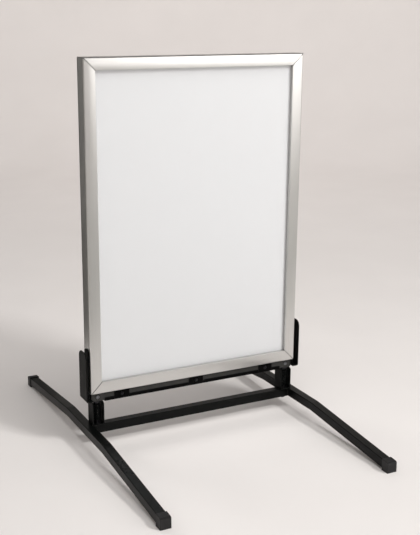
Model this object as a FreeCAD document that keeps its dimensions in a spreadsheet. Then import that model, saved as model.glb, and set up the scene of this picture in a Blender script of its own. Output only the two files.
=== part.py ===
import FreeCAD, Part
import math
import os
import re
import Sketcher
from FreeCAD import Placement, Rotation, Vector

# Pavement sign: a double-sided snap frame for posters, on a sprung steel base.
# Millimetres. X runs to the right, Y to the back, Z up. The origin is on the floor under the middle.

SHEET = "Sizes"

# Driving dimensions: name, value, meaning
SIZES = [
    # Snap frame
    ("sheet_inset", 21.5, "edge of the poster, in from the frame's outer edge"),
    ("sign_depth", 46.0, "front face to rear face of the frame"),
    ("rail_face", 32.0, "width of a snap rail's face"),
    ("rail_crown", 0.8, "rise of a snap rail's face between its edges"),
    ("rail_wall", 1.6, "wall of a snap rail"),
    ("lip_reach", 10.0, "how far a rail's inner lip reaches back from its face"),
    ("rail_round", 3.0, "rounding of a rail's outer edge"),
    ("lip_round", 1.0, "rounding of a rail's inner edge"),
    ("mitre_gap", 0.6, "half the gap between two closed rails at a mitre"),
    ("bead_inset", 2.4, "hinge bead's centre, in from the outer edge"),
    ("bead_depth", 5.8, "hinge bead's centre, back from the rail's face"),
    ("bead_radius", 1.2, "radius of the hinge bead"),
    ("bead_play", 0.3, "play between the bead and the rail's groove"),
    ("neck_wall", 1.0, "web that carries the bead"),
    ("neck_drop", 2.8, "hinge bead's centre in front of its flange"),
    ("base_wall", 1.8, "outer wall of a base rail"),
    ("box_wall", 1.5, "other walls of a base rail's box"),
    ("box_reach", 27.0, "width of a base rail, outer wall to inner wall"),
    ("flange_wall", 1.4, "thickness of that flange"),
    ("rib_wall", 1.0, "rib that the sheets stop against"),
    ("rib_short", 0.3, "how far the rib stays below the cover sheet"),
    ("key_leg", 60.0, "leg of a corner key"),
    ("key_wall", 3.0, "thickness of a corner key"),
    ("key_play", 0.1, "play of a corner key in its rail"),
    # Sheets
    ("poster_width", 594.0, "width of the poster and the sheets around it"),
    ("poster_height", 841.0, "height of the poster and the sheets around it"),
    ("poster_thick", 0.4, "thickness of the poster"),
    ("cover_thick", 0.8, "thickness of the clear cover"),
    ("backing_thick", 2.0, "thickness of the backing sheet"),
    ("sheet_play", 0.3, "play between the sheets and what holds them"),
    # Snap clips
    ("clip_length", 30.0, "length of a snap clip along its rail"),
    ("clip_wall", 0.8, "thickness of a snap clip"),
    ("clip_margin", 1.2, "foot of a snap clip from the flange and from the rib"),
    ("clip_play", 0.3, "play between a clip and the closed rail"),
    ("clip_from_end", 130.0, "middle of a clip from the end of its rail"),
    # Legs, crossbar and foot caps
    ("leg_offset", 3.0, "middle of a leg, out from the frame's side"),
    ("leg_end", 496.0, "end of a leg's tube from the middle"),
    ("leg_flat", 135.0, "bend of a leg from the middle"),
    ("leg_under", 35.0, "floor to the underside of a leg's middle"),
    ("leg_tube", 25.0, "side of the square tube of legs and crossbar"),
    ("tube_wall", 1.5, "wall of the square tubes"),
    ("tube_round", 2.0, "rounded corners of the square tubes"),
    ("bend_radius", 75.0, "inside radius of a leg's bend"),
    ("cap_length", 25.0, "length of a foot cap"),
    ("cap_floor", 2.5, "foot cap's floor under the end of the tube"),
    ("cap_wall", 2.0, "foot cap's sides and top"),
    ("cap_end", 4.0, "foot cap's end wall"),
    ("cap_play", 0.05, "play of a tube in its foot cap"),
    ("cap_nose", 6.0, "rounding of a foot cap's nose"),
    ("cap_round", 1.2, "rounded edges of a foot cap"),
    # Posts, springs and plugs
    ("post_height", 67.0, "height of a post above the crossbar"),
    ("post_depth", 36.0, "depth of a post's cheeks"),
    ("post_sheet", 2.5, "sheet of a post"),
    ("post_overlap", 4.0, "how far a post reaches over its leg"),
    ("tilt_gap", 1.0, "gap between a post's crown and the bar above it"),
    ("coil_diameter", 25.0, "outside diameter of a spring"),
    ("coil_wire", 4.0, "wire of a spring"),
    ("coil_gap", 0.6, "least gap between two turns of a spring"),
    ("coil_clear", 1.5, "gap between a spring and a post's cheek"),
    ("tang_ease", 0.2, "bend of the wire's upright end, beyond the wire's own width"),
    ("plug_flange", 3.0, "thickness of a plug's flange"),
    ("rim_over", 1.0, "how far a plug's flange stands out from the coil"),
    ("spigot_play", 0.7, "play of a plug's spigot inside the coil"),
    ("spigot_length", 13.0, "length of a plug's spigot"),
    ("spigot_bevel", 2.0, "bevel on the end of a spigot"),
    ("stud_diameter", 12.0, "stud of an upper plug inside the bar"),
    ("stud_short", 4.5, "top of that stud below the bar's upper wall"),
    ("bolt_diameter", 6.0, "cross bolts and clamp screws"),
    ("base_bolt_diameter", 8.0, "bolts that hold the lower plugs"),
    ("bolt_play", 0.1, "play of a bolt in its hole, on the radius"),
    ("bolt_height", 12.0, "cross bolt and clamp screw above the bar's underside"),
    ("dome_ratio", 1.8, "diameter of a domed head over its shank"),
    ("hex_ratio", 1.65, "width across a hexagon over its shank"),
    ("head_high", 4.0, "height of a bolt head"),
    ("nut_high", 5.0, "height of a nut"),
    ("bolt_grip", 8.0, "length of a base bolt inside its plug"),
    # Bar, brackets and clamps
    ("bar_tube", 25.0, "side of the square tube under the frame"),
    ("bar_setback", 4.5, "end of that tube, in from the frame's side"),
    ("bracket_sheet", 3.0, "sheet of a bracket"),
    ("bracket_gap", 8.0, "clear space between a bracket's two flanges"),
    ("bracket_depth", 52.0, "width of a bracket's outer flange"),
    ("bracket_rise", 139.0, "height of a bracket's outer flange"),
    ("bracket_drop", 5.0, "bracket's underside above the bar's underside"),
    ("bracket_crown", 18.0, "rounded top corners of the outer flange"),
    ("bracket_bend", 5.0, "outside radius of a bracket's fold"),
    ("inner_depth", 27.0, "width of a bracket's inner flange"),
    ("inner_over", 4.0, "inner flange above the outer flange"),
    ("inner_crown", 6.0, "rounded top corners of the inner flange"),
    ("tongue_gap", 2.0, "bracket's tongue in the bar, short of the stud"),
    ("tongue_play", 0.3, "play of the tongue's sides in the bar"),
    ("rivet_diameter", 5.0, "rivets of the brackets"),
    ("rivet_head", 2.0, "height of a rivet head"),
    ("rivet_low", 40.0, "lower rivet above the frame's underside"),
    ("rivet_pitch", 50.0, "lower rivet to upper rivet"),
    ("clamp_width", 44.0, "width of a clamp saddle"),
    ("clamp_wall", 2.0, "wall of a clamp saddle"),
    ("clamp_drop", 3.5, "clamp saddle's sides below the bar's top"),
    ("clamp_setback", 70.5, "middle of an outer clamp, in from the middle of a post"),
    ("clamp_round", 1.5, "rounded outer edges of clamp saddles and edge strips"),
    ("strip_rise", 10.0, "height of an edge strip under the bar"),
    ("strip_gap", 0.5, "gap between an edge strip and a clamp saddle"),
    ("strip_clear", 4.0, "end of an edge strip from the side of a post"),
]

doc = FreeCAD.newDocument("PavementSign")
sheet = doc.addObject("Spreadsheet::Sheet", SHEET)
for row, (alias, value, meaning) in enumerate(SIZES, start=1):
    sheet.set(f"A{row}", meaning)
    sheet.set(f"B{row}", str(value))
    sheet.setAlias(f"B{row}", alias)
doc.recompute()

ALIASES = {alias for alias, value, meaning in SIZES}


def bind(text):
    """Turn plain size names into references to the sheet's cells."""
    return re.sub(r"[a-z_]+", lambda m: f"{SHEET}.{m[0]}" if m[0] in ALIASES else m[0], text)


def measure(text):
    """Value of an expression of sizes, now."""
    value = sheet.evalExpression(bind(text))
    return float(value.Value if hasattr(value, "Value") else value)


# Heights and places that several pieces share
SIGN_WIDTH = "(poster_width + 2 * sheet_inset)"
SIGN_HEIGHT = "(poster_height + 2 * sheet_inset)"
POST_FOOT = "(leg_under + leg_tube)"
BAR_UNDER = f"({POST_FOOT} + post_height + tilt_gap)"
FRAME_UNDER = f"({BAR_UNDER} + bar_tube)"
FRAME_MIDDLE = f"({FRAME_UNDER} + {SIGN_HEIGHT} / 2)"
COIL_FOOT = f"({POST_FOOT} + post_sheet + plug_flange)"
COIL_HEAD = f"({BAR_UNDER} - plug_flange)"
LEAN_AXIS = f"(({COIL_FOOT} + {COIL_HEAD}) / 2)"
CROWN_RADIUS = f"({BAR_UNDER} - tilt_gap - {LEAN_AXIS})"
LEG_X = f"({SIGN_WIDTH} / 2 + leg_offset)"
POST_WIDTH = "(coil_diameter + 2 * coil_clear + 2 * post_sheet)"
SPRING_X = f"({LEG_X} - leg_tube / 2 + post_overlap - {POST_WIDTH} / 2)"
BAR_END = f"({SIGN_WIDTH} / 2 - bar_setback)"
CLAMP_X = f"({SPRING_X} - clamp_setback)"
STRIP_END = f"({SPRING_X} - {POST_WIDTH} / 2 - strip_clear)"
STUD_TOP = f"({FRAME_UNDER} - tube_wall - stud_short)"
BOLT_Z = f"({BAR_UNDER} + bolt_height)"
LEG_FALL = "atan((leg_under - cap_floor) / (leg_end - leg_flat))"
BOX_HALF = "(sign_depth / 2 - lip_reach - sheet_play - cover_thick - poster_thick - backing_thick)"
BEAD_Y = "(sign_depth / 2 - bead_depth)"
FLANGE_FRONT = f"({BEAD_Y} - neck_drop)"
FLANGE_REACH = "(bead_inset + neck_drop + neck_wall)"
GROOVE_RADIUS = "(bead_radius + bead_play)"
FACE_EDGE = "(sign_depth / 2 - rail_crown)"
FACE_RADIUS = "(rail_face * rail_face / 8 / rail_crown + rail_crown / 2)"
RIB_IN = "(sheet_inset - sheet_play)"
RIB_OUT = f"({RIB_IN} - rib_wall)"

parts = []


def finish(piece, label):
    """Give a finished piece its own name and keep it for the export."""
    piece.Label = label
    parts.append(piece)
    return piece


def quarter_turns(axis, count):
    return Rotation(axis, math.degrees(count * math.pi / 2))


def new_body(name):
    return doc.addObject("PartDesign::Body", f"{name}_body")


def place(piece, x="0", y="0", z="0", turn=None):
    """Put a piece where the sizes say, turned by a rotation."""
    if turn is not None:
        piece.Placement = Placement(Vector(), turn)
    for axis, text in zip("xyz", (x, y, z)):
        piece.setExpression(f"Placement.Base.{axis}", bind(text))


def new_sketch(body, plane):
    """Sketch on one of the body's own origin planes, such as XZ."""
    sketch = body.newObject("Sketcher::SketchObject", f"{body.Name}_sketch")
    support = next(f for f in body.Origin.OriginFeatures if f.Role == f"{plane}_Plane")
    sketch.AttachmentSupport = (support, [""])
    sketch.MapMode = "FlatFace"
    return sketch


def pin_point(sketch, element, vertex, x, y):
    """Hold a point of the sketch at a place bound to the sizes."""
    for kind, text in (("DistanceX", x), ("DistanceY", y)):
        if text is None:
            continue
        index = sketch.addConstraint(Sketcher.Constraint(kind, -1, 1, element, vertex, measure(text)))
        name = f"{kind}_{index}"
        sketch.renameConstraint(index, name)
        sketch.setExpression(f"Constraints.{name}", bind(text))


def size_radius(sketch, element, text):
    index = sketch.addConstraint(Sketcher.Constraint("Radius", element, measure(text)))
    name = f"Radius_{index}"
    sketch.renameConstraint(index, name)
    sketch.setExpression(f"Constraints.{name}", bind(text))


def add_outline(sketch, corners, arcs=None):
    """Closed outline through corners given as expressions of sizes.

    arcs maps the number of a side to the (x, y, radius) of its circle. A corner on an arc may have
    None for its height, and then lies on the upper half of the circle. Where both corners of an
    arc are given, the radius alone sizes it.
    """
    arcs = arcs or {}
    first = sketch.GeometryCount
    count = len(corners)
    spots = []
    for i, (x, y) in enumerate(corners):
        if y is None:
            middle_x, middle_y, radius = (measure(t) for t in arcs.get(i) or arcs[(i - 1) % count])
            aside = measure(x) - middle_x
            spots.append(Vector(measure(x), middle_y + math.sqrt(radius ** 2 - aside ** 2), 0))
        else:
            spots.append(Vector(measure(x), measure(y), 0))
    order = []
    for i in range(count):
        start = spots[i]
        end = spots[(i + 1) % count]
        if i in arcs:
            middle_x, middle_y, radius = (measure(t) for t in arcs[i])
            circle = Part.Circle(Vector(middle_x, middle_y, 0), Vector(0, 0, 1), radius)
            turns = [math.atan2(p.y - middle_y, p.x - middle_x) for p in (start, end)]
            if abs(turns[0] - turns[1]) > math.pi:
                turns = [turn % (2 * math.pi) for turn in turns]
            sketch.addGeometry(Part.ArcOfCircle(circle, min(turns), max(turns)), False)
            order.append((2, 1) if turns[0] > turns[1] else (1, 2))
        else:
            sketch.addGeometry(Part.LineSegment(start, end), False)
            order.append((1, 2))
    for i in range(count):
        j = (i + 1) % count
        ends = (first + i, order[i][1], first + j, order[j][0])
        sketch.addConstraint(Sketcher.Constraint("Coincident", *ends))
    for i, (x, y) in enumerate(corners):
        pin_point(sketch, first + i, order[i][0], x, y)
    for i, (x, y, radius) in arcs.items():
        if None in (corners[i][1], corners[(i + 1) % count][1]):
            pin_point(sketch, first + i, 3, x, y)
        size_radius(sketch, first + i, radius)


def add_rectangle(sketch, x0, x1, y0, y1):
    add_outline(sketch, [(x0, y0), (x1, y0), (x1, y1), (x0, y1)])


def add_circle(sketch, x, y, radius):
    spot = Vector(measure(x), measure(y), 0)
    index = sketch.addGeometry(Part.Circle(spot, Vector(0, 0, 1), measure(radius)), False)
    pin_point(sketch, index, 3, x, y)
    size_radius(sketch, index, radius)


def pad(body, sketch, length):
    """Grow a sketch by half the length to each side."""
    feature = body.newObject("PartDesign::Pad", f"{body.Name}_pad")
    feature.Profile = sketch
    feature.SideType = "Symmetric"
    feature.setExpression("Length", bind(length))
    doc.recompute()
    return feature


def pocket(body, sketch, length=None):
    """Cut a sketch to both sides: by a length, or right through."""
    before = body.Shape.Volume
    feature = body.newObject("PartDesign::Pocket", f"{body.Name}_pocket")
    feature.Profile = sketch
    feature.SideType = "Symmetric"
    if length is None:
        feature.Type = "ThroughAll"
    else:
        feature.setExpression("Length", bind(length))
    doc.recompute()
    if body.Shape.Volume >= before:
        raise RuntimeError(f"{feature.Name} cuts nothing")
    return feature


def drill(body, plane, spots, radius):
    """Round holes right through, at (x, y) places on an origin plane."""
    sketch = new_sketch(body, plane)
    for x, y in spots:
        add_circle(sketch, x, y, radius)
    pocket(body, sketch)


def drill_wall(body, plane, depth, spots, length):
    """Rivet holes through one wall only, whose middle lies at a depth along the plane's normal."""
    sketch = new_sketch(body, plane)
    sketch.setExpression("AttachmentOffset.Base.z", bind(depth))
    for x, y in spots:
        add_circle(sketch, x, y, "rivet_diameter / 2 + bolt_play")
    pocket(body, sketch, length)


def round_edges(body, test, radius):
    """Fillet the edges of the body that pass a test of their two end points."""
    names = []
    for i, edge in enumerate(body.Shape.Edges, start=1):
        ends = [v.Point for v in edge.Vertexes]
        if len(ends) == 2 and test(*ends):
            names.append(f"Edge{i}")
    feature = body.newObject("PartDesign::Fillet", f"{body.Name}_fillet")
    feature.Base = (body.Tip if body.Tip != feature else feature.BaseFeature, names)
    feature.setExpression("Radius", bind(radius))
    doc.recompute()


def near(a, b):
    return abs(a - b) < 1e-4


def along(axis, **at):
    """Test for edges along an axis ('x', 'y' or 'z') whose ends lie at the given distances from 0."""
    others = {name: measure(text) for name, text in at.items()}

    def test(p, q):
        if near(getattr(p, axis), getattr(q, axis)):
            return False
        return all(near(abs(getattr(v, n)), d) for v in (p, q) for n, d in others.items())

    return test


def square_tube(name, side, length):
    """Straight square tube along X, centred on the origin."""
    body = new_body(name)
    outside = new_sketch(body, "YZ")
    add_rectangle(outside, f"-{side} / 2", f"{side} / 2", f"-{side} / 2", f"{side} / 2")
    pad(body, outside, length)
    round_edges(body, along("x", y=f"{side} / 2", z=f"{side} / 2"), "tube_round")
    inside = new_sketch(body, "YZ")
    half = f"({side} / 2 - tube_wall)"
    add_rectangle(inside, f"-{half}", half, f"-{half}", half)
    pocket(body, inside)
    return body


# Legs: square tube, level in the middle and bent down to the floor front and back

def leg_outline(sketch, inset):
    """Side view of a leg, or of the hollow inside it at the tube's wall."""
    bend_y = f"(leg_flat - bend_radius * tan({LEG_FALL} / 2))"
    bend_z = "(leg_under - bend_radius)"
    edges = []
    for level in (inset, f"(leg_tube - {inset})"):
        radius = f"(bend_radius + {level})"
        past = f"({bend_y} + {radius} * sin({LEG_FALL}))"
        end = f"(cap_floor + {level} / cos({LEG_FALL}))"
        edges.append((radius, past, end))
    (low_radius, low_past, low_end), (top_radius, top_past, top_end) = edges
    right = [
        (bend_y, None),
        (low_past, None),
        ("leg_end", low_end),
        ("leg_end", top_end),
        (top_past, None),
        (bend_y, None),
    ]
    left = [(f"-{y}", z) for y, z in reversed(right)]
    arcs = {
        0: (bend_y, bend_z, low_radius),
        4: (bend_y, bend_z, top_radius),
        6: (f"-{bend_y}", bend_z, top_radius),
        10: (f"-{bend_y}", bend_z, low_radius),
    }
    add_outline(sketch, right + left, arcs)


def leg(name, x):
    body = new_body(name)
    outside = new_sketch(body, "YZ")
    leg_outline(outside, "0")
    pad(body, outside, "leg_tube")
    round_edges(body, lambda p, q: near(p.x, q.x) and not near(p.y, q.y), "tube_round")
    inside = new_sketch(body, "YZ")
    leg_outline(inside, "tube_wall")
    pocket(body, inside, "leg_tube - 2 * tube_wall")
    place(body, x=x)
    finish(body, name)


def crossbar():
    body = square_tube("crossbar", "leg_tube", f"2 * {LEG_X} - leg_tube")
    drill(body, "XY", [(SPRING_X, "0"), (f"-{SPRING_X}", "0")], "base_bolt_diameter / 2 + bolt_play")
    place(body, z="leg_under + leg_tube / 2")
    finish(body, "crossbar")


def foot_cap(name, x, turn):
    """Moulded cap that slips over a leg's end and stands flat on the floor."""
    body = new_body(name)
    start = "(leg_end + cap_end - cap_length)"
    nose = "(leg_end + cap_end)"

    def tube_top(y):
        return f"(cap_floor + leg_tube / cos({LEG_FALL}) + (leg_end - {y}) * tan({LEG_FALL}))"

    def tube_under(y):
        return f"(cap_floor + (leg_end - {y}) * tan({LEG_FALL}))"

    outside = new_sketch(body, "YZ")
    add_outline(outside, [
        (start, "0"),
        (nose, "0"),
        (nose, f"{tube_top(nose)} + cap_wall"),
        (start, f"{tube_top(start)} + cap_wall"),
    ])
    width = "(leg_tube + 2 * cap_wall)"
    pad(body, outside, width)
    nose_top = f"{tube_top(nose)} + cap_wall"
    round_edges(body, along("x", y=nose, z=nose_top), "cap_nose")
    half = measure(f"{width} / 2")
    entry = measure(start)

    def outer_edge(p, q):
        on_side = near(abs(p.x), half) and near(p.x, q.x)
        at_entry = near(p.y, entry) and near(q.y, entry)
        on_floor = near(p.z, 0) and near(q.z, 0)
        return on_side and not at_entry and not on_floor

    round_edges(body, outer_edge, "cap_round")
    socket = new_sketch(body, "YZ")
    before = f"({start} - cap_wall)"
    add_outline(socket, [
        (before, f"{tube_under(before)} - cap_play"),
        ("leg_end", "cap_floor - cap_play"),
        ("leg_end", f"{tube_top('leg_end')} + cap_play"),
        (before, f"{tube_top(before)} + cap_play"),
    ])
    pocket(body, socket, "leg_tube + 2 * cap_play")
    place(body, x=x, turn=turn)
    finish(body, name)


# Posts: folded channels whose crowned cheeks let the bar roll over them

def post(name, x):
    body = new_body(name)
    side = new_sketch(body, "YZ")
    add_outline(side, [
        ("-post_depth / 2", POST_FOOT),
        ("post_depth / 2", POST_FOOT),
        ("post_depth / 2", None),
        ("-post_depth / 2", None),
    ], {2: ("0", LEAN_AXIS, CROWN_RADIUS)})
    pad(body, side, POST_WIDTH)
    between = new_sketch(body, "XZ")
    gap = f"({POST_WIDTH} / 2 - post_sheet)"
    add_rectangle(between, f"-{gap}", gap, f"{POST_FOOT} + post_sheet", f"{BAR_UNDER} + post_sheet")
    pocket(body, between)
    round_edges(body, along("y", x=f"{POST_WIDTH} / 2", z=POST_FOOT), "post_sheet / 2")
    drill(body, "XY", [("0", "0")], "base_bolt_diameter / 2 + bolt_play")
    place(body, x=x)
    finish(body, name)


# Springs: one unbroken wire, wound close, with both ends turned upright on to the plugs

def biarc(start, start_way, end, end_way):
    """Two tangent arcs from one point and direction to another."""
    span = end - start
    both = start_way + end_way
    a = 2 * (start_way.dot(end_way) - 1)
    b = -2 * span.dot(both)
    c = span.dot(span)
    reach = (-b - math.sqrt(b * b - 4 * a * c)) / (2 * a)
    first = start + start_way * reach
    last = end - end_way * reach
    joint = (first + last) / 2
    return [bend(start, first, joint), bend(joint, last, end)]


def bend(start, corner, end):
    """Arc that leaves start towards a corner and reaches end from it."""
    middle = (start + end) / 2
    rise = corner - middle
    cosine = (end - start).Length / 2 / (corner - start).Length
    return Part.Arc(start, middle + rise * (cosine / (1 + cosine)), end).toShape()


def coil_path():
    """Edges of a spring's wire, upright, with the plug's faces at both ends."""
    wire = measure("coil_wire")
    radius = measure("coil_diameter / 2") - wire / 2
    tang = measure("coil_wire + tang_ease")
    foot = measure(COIL_FOOT)
    head = measure(COIL_HEAD)
    halves = math.floor(2 * (head - foot - 2 * (wire + tang)) / measure("coil_wire + coil_gap"))
    turns = halves / 2
    slope = 0.0
    for _ in range(4):
        rise = tang * math.cos(slope)
        pitch = (head - foot - 2 * (wire + rise)) / turns
        slope = math.atan2(pitch, 2 * math.pi * radius)
    low = foot + wire + rise
    up = Vector(0, 0, 1)

    def spot(angle):
        height = low + pitch * angle / (2 * math.pi)
        return Vector(radius * math.sin(angle), -radius * math.cos(angle), height)

    def way(angle):
        flat = Vector(math.cos(angle), math.sin(angle), 0)
        return flat * math.cos(slope) + up * math.sin(slope)

    last = 2 * math.pi * turns
    sideways = tang * (1 - math.sin(slope))
    lead_in = spot(0) - Vector(sideways, 0, rise)
    lead_out = spot(last) + Vector(math.cos(last), math.sin(last), 0) * sideways + up * rise
    edges = [Part.LineSegment(lead_in - up * wire, lead_in).toShape()]
    edges += biarc(lead_in, up, spot(0), way(0))
    for i in range(halves):
        a = last * i / halves
        b = last * (i + 1) / halves
        edges += biarc(spot(a), way(a), spot(b), way(b))
    edges += biarc(spot(last), way(last), lead_out, up)
    edges.append(Part.LineSegment(lead_out, lead_out + up * wire).toShape())
    return edges


def least_gap(edges, wire):
    """Least clear space between turns of the wire, measured on points along it."""
    step = wire / 5
    points = []
    for edge in edges:
        points += edge.discretize(Number=max(3, round(edge.Length / step)))[:-1]
    skip = round(3 * wire / step)
    best = math.inf
    for i, p in enumerate(points):
        for q in points[i + skip:]:
            best = min(best, (p - q).Length)
    return best - wire


def spring(name, x):
    edges = coil_path()
    wire = measure("coil_wire")
    print(f"{name}: least gap to itself {least_gap(edges, wire):.2f} mm")
    start = edges[0].Vertexes[0].Point
    section = Part.Wire(Part.Circle(start, Vector(0, 0, 1), wire / 2).toShape())
    piece = doc.addObject("Part::Feature", f"{name}_wire")
    piece.Shape = Part.Wire(edges).makePipeShell([section], True, False)
    swept = sum(e.Length for e in edges) * math.pi * wire ** 2 / 4
    print(f"{name}: volume {piece.Shape.Volume:.0f} of {swept:.0f} mm3")
    place(piece, x=x)
    finish(piece, name)


# Plugs: turned seats inside the two ends of a spring

def plug(name, x, seat, way, stud):
    """Flange against a seat, with a spigot towards the coil and, above, a stud into the bar."""
    body = new_body(name)
    sketch = new_sketch(body, "XZ")

    def at(distance):
        return f"{seat} {way} ({distance})"

    tip = "plug_flange + spigot_length"
    rim = "(coil_diameter / 2 + rim_over)"
    spigot = "(coil_diameter / 2 - coil_wire - spigot_play)"
    outline = [
        ("0", at(tip)),
        (f"{spigot} - spigot_bevel", at(tip)),
        (spigot, at(f"{tip} - spigot_bevel")),
        (spigot, at("plug_flange")),
        (rim, at("plug_flange")),
        (rim, seat),
    ]
    if stud:
        outline += [
            ("stud_diameter / 2", seat),
            ("stud_diameter / 2", STUD_TOP),
            ("0", STUD_TOP),
        ]
    else:
        outline += [
            ("base_bolt_diameter / 2 + bolt_play", seat),
            ("base_bolt_diameter / 2 + bolt_play", f"{seat} + bolt_grip + bolt_play"),
            ("0", f"{seat} + bolt_grip + bolt_play"),
        ]
    add_outline(sketch, outline)
    turned = body.newObject("PartDesign::Revolution", f"{name}_turned")
    turned.Profile = sketch
    turned.ReferenceAxis = (sketch, ["V_Axis"])
    doc.recompute()
    if stud:
        drill(body, "XZ", [("0", BOLT_Z)], "bolt_diameter / 2 + bolt_play")
    place(body, x=x)
    finish(body, name)


# Fasteners: each set of equal ones is one node

def hex_prism(across, height):
    """Hexagon of the given width across its flats, from the origin up Z."""
    corner = across / math.sqrt(3)
    spots = [Vector(corner * math.cos(a), corner * math.sin(a), 0) for a in
             (math.radians(60 * i) for i in range(7))]
    return Part.Face(Part.makePolygon(spots)).extrude(Vector(0, 0, height))


def dome(diameter, height):
    """Low round head from the origin up Z."""
    radius = (diameter ** 2 / 4 + height ** 2) / (2 * height)
    ball = Part.makeSphere(radius, Vector(0, 0, height - radius))
    return ball.common(Part.makeCylinder(diameter / 2, height))


def fasteners(name, one, places):
    """One node of equal fasteners; a place is (point, direction of the head)."""
    copies = []
    for point, way in places:
        copy = one.copy()
        copy.Placement = Placement(point, Rotation(Vector(0, 0, 1), way))
        copies.append(copy)
    piece = doc.addObject("Part::Feature", f"{name}_set")
    piece.Shape = Part.makeCompound(copies)
    finish(piece, name)


def through_bolt(grip):
    """Domed head at the origin, shank down Z and a nut after the grip."""
    diameter = measure("bolt_diameter")
    nut_high = measure("nut_high")
    nut = hex_prism(measure("hex_ratio") * diameter, nut_high)
    nut.translate(Vector(0, 0, -grip - nut_high))
    shank = Part.makeCylinder(diameter / 2, grip + nut_high, Vector(0, 0, -grip - nut_high))
    head = dome(measure("dome_ratio") * diameter, measure("head_high"))
    return head.fuse([shank, nut]).removeSplitter()


def cross_bolts():
    grip = measure("bar_tube")
    height = measure(BOLT_Z)
    side = measure(SPRING_X)
    front = Vector(0, -1, 0)
    spots = [Vector(x, -grip / 2, height) for x in (-side, side)]
    fasteners("cross_bolts", through_bolt(grip), [(p, front) for p in spots])


def clamp_screws():
    grip = measure("bar_tube + 2 * clamp_wall")
    height = measure(BOLT_Z)
    pitch = measure(CLAMP_X)
    front = Vector(0, -1, 0)
    spots = [Vector(x, -grip / 2, height) for x in (-pitch, 0, pitch)]
    fasteners("clamp_screws", through_bolt(grip), [(p, front) for p in spots])


def base_bolts():
    diameter = measure("base_bolt_diameter")
    under = measure("leg_under")
    length = measure("leg_tube + post_sheet + bolt_grip")
    head = hex_prism(measure("hex_ratio") * diameter, measure("head_high"))
    shank = Part.makeCylinder(diameter / 2, length, Vector(0, 0, -length))
    side = measure(SPRING_X)
    spots = [Vector(x, 0, under) for x in (-side, side)]
    fasteners("base_bolts", head.fuse(shank).removeSplitter(), [(p, Vector(0, 0, -1)) for p in spots])


def bracket_rivets():
    diameter = measure("rivet_diameter")
    length = measure("bracket_sheet + base_wall")
    head = dome(measure("dome_ratio") * diameter, measure("rivet_head"))
    shank = Part.makeCylinder(diameter / 2, length, Vector(0, 0, -length))
    side = measure(f"{SIGN_WIDTH} / 2 + bracket_sheet")
    low = measure(f"{FRAME_UNDER} + rivet_low")
    pitch = measure("rivet_pitch")
    places = []
    for way in (-1, 1):
        for height in (low, low + pitch):
            places.append((Vector(way * side, 0, height), Vector(way, 0, 0)))
    fasteners("bracket_rivets", head.fuse(shank).removeSplitter(), places)


# Bar under the frame, its brackets and its clamps

def frame_bar():
    body = square_tube("frame_bar", "bar_tube", f"2 * {BAR_END}")
    drill(body, "XY", [(SPRING_X, "0"), (f"-{SPRING_X}", "0")], "stud_diameter / 2 + bolt_play")
    height = "bolt_height - bar_tube / 2"
    spots = [(x, height) for x in (f"-{SPRING_X}", f"-{CLAMP_X}", "0", CLAMP_X, SPRING_X)]
    drill(body, "XZ", spots, "bolt_diameter / 2 + bolt_play")
    place(body, z=f"{BAR_UNDER} + bar_tube / 2")
    finish(body, "frame_bar")


def bracket(name, turn):
    """Folded bracket at a lower corner: outer flange, web, inner flange and a tongue into the bar."""
    body = new_body(name)
    under = f"({BAR_UNDER} + bracket_drop)"
    web_top = f"({under} + bracket_sheet)"
    top = f"({under} + bracket_rise)"
    inner_top = f"({top} + inner_over)"
    inner = f"({SIGN_WIDTH} / 2)"
    gap_start = f"({inner} + bracket_sheet)"
    gap_end = f"({gap_start} + bracket_gap)"
    outer = f"({gap_end} + bracket_sheet)"
    tongue_end = f"({SPRING_X} + stud_diameter / 2 + tongue_gap)"
    fold = new_sketch(body, "XZ")
    add_outline(fold, [
        (BAR_END, under),
        (outer, under),
        (outer, top),
        (gap_end, top),
        (gap_end, web_top),
        (BAR_END, web_top),
    ])
    pad(body, fold, "bracket_depth")
    round_edges(body, along("y", x=outer, z=under), "bracket_bend")
    round_edges(body, along("y", x=gap_end, z=web_top), "bracket_bend - bracket_sheet")
    round_edges(body, along("x", y="bracket_depth / 2", z=top), "bracket_crown")
    upright = new_sketch(body, "XZ")
    add_rectangle(upright, inner, gap_start, web_top, inner_top)
    pad(body, upright, "inner_depth")
    round_edges(body, along("x", y="inner_depth / 2", z=inner_top), "inner_crown")
    tongue = new_sketch(body, "XZ")
    add_rectangle(tongue, tongue_end, BAR_END, under, web_top)
    pad(body, tongue, "bar_tube - 2 * tube_wall - 2 * tongue_play")
    spots = [("0", f"{FRAME_UNDER} + rivet_low"), ("0", f"{FRAME_UNDER} + rivet_low + rivet_pitch")]
    drill_wall(body, "YZ", f"{inner} + bracket_sheet / 2", spots, "2 * bracket_sheet")
    place(body, turn=turn)
    finish(body, name)


def saddle(name, length, top):
    """Channel under the bar, as high at its sides as the given height, centred on X."""
    body = new_body(name)
    section = new_sketch(body, "YZ")
    inside = "(bar_tube / 2)"
    outside = f"({inside} + clamp_wall)"
    add_outline(section, [
        (f"-{outside}", f"{BAR_UNDER} - clamp_wall"),
        (outside, f"{BAR_UNDER} - clamp_wall"),
        (outside, top),
        (inside, top),
        (inside, BAR_UNDER),
        (f"-{inside}", BAR_UNDER),
        (f"-{inside}", top),
        (f"-{outside}", top),
    ])
    pad(body, section, length)
    round_edges(body, along("x", y=outside, z=f"{BAR_UNDER} - clamp_wall"), "clamp_round")
    return body


def clamp(name, x):
    """Saddle under the bar, screwed through it."""
    body = saddle(name, "clamp_width", f"({FRAME_UNDER} - clamp_drop)")
    drill(body, "XZ", [("0", BOLT_Z)], "bolt_diameter / 2 + bolt_play")
    place(body, x=x)
    finish(body, name)


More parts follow.
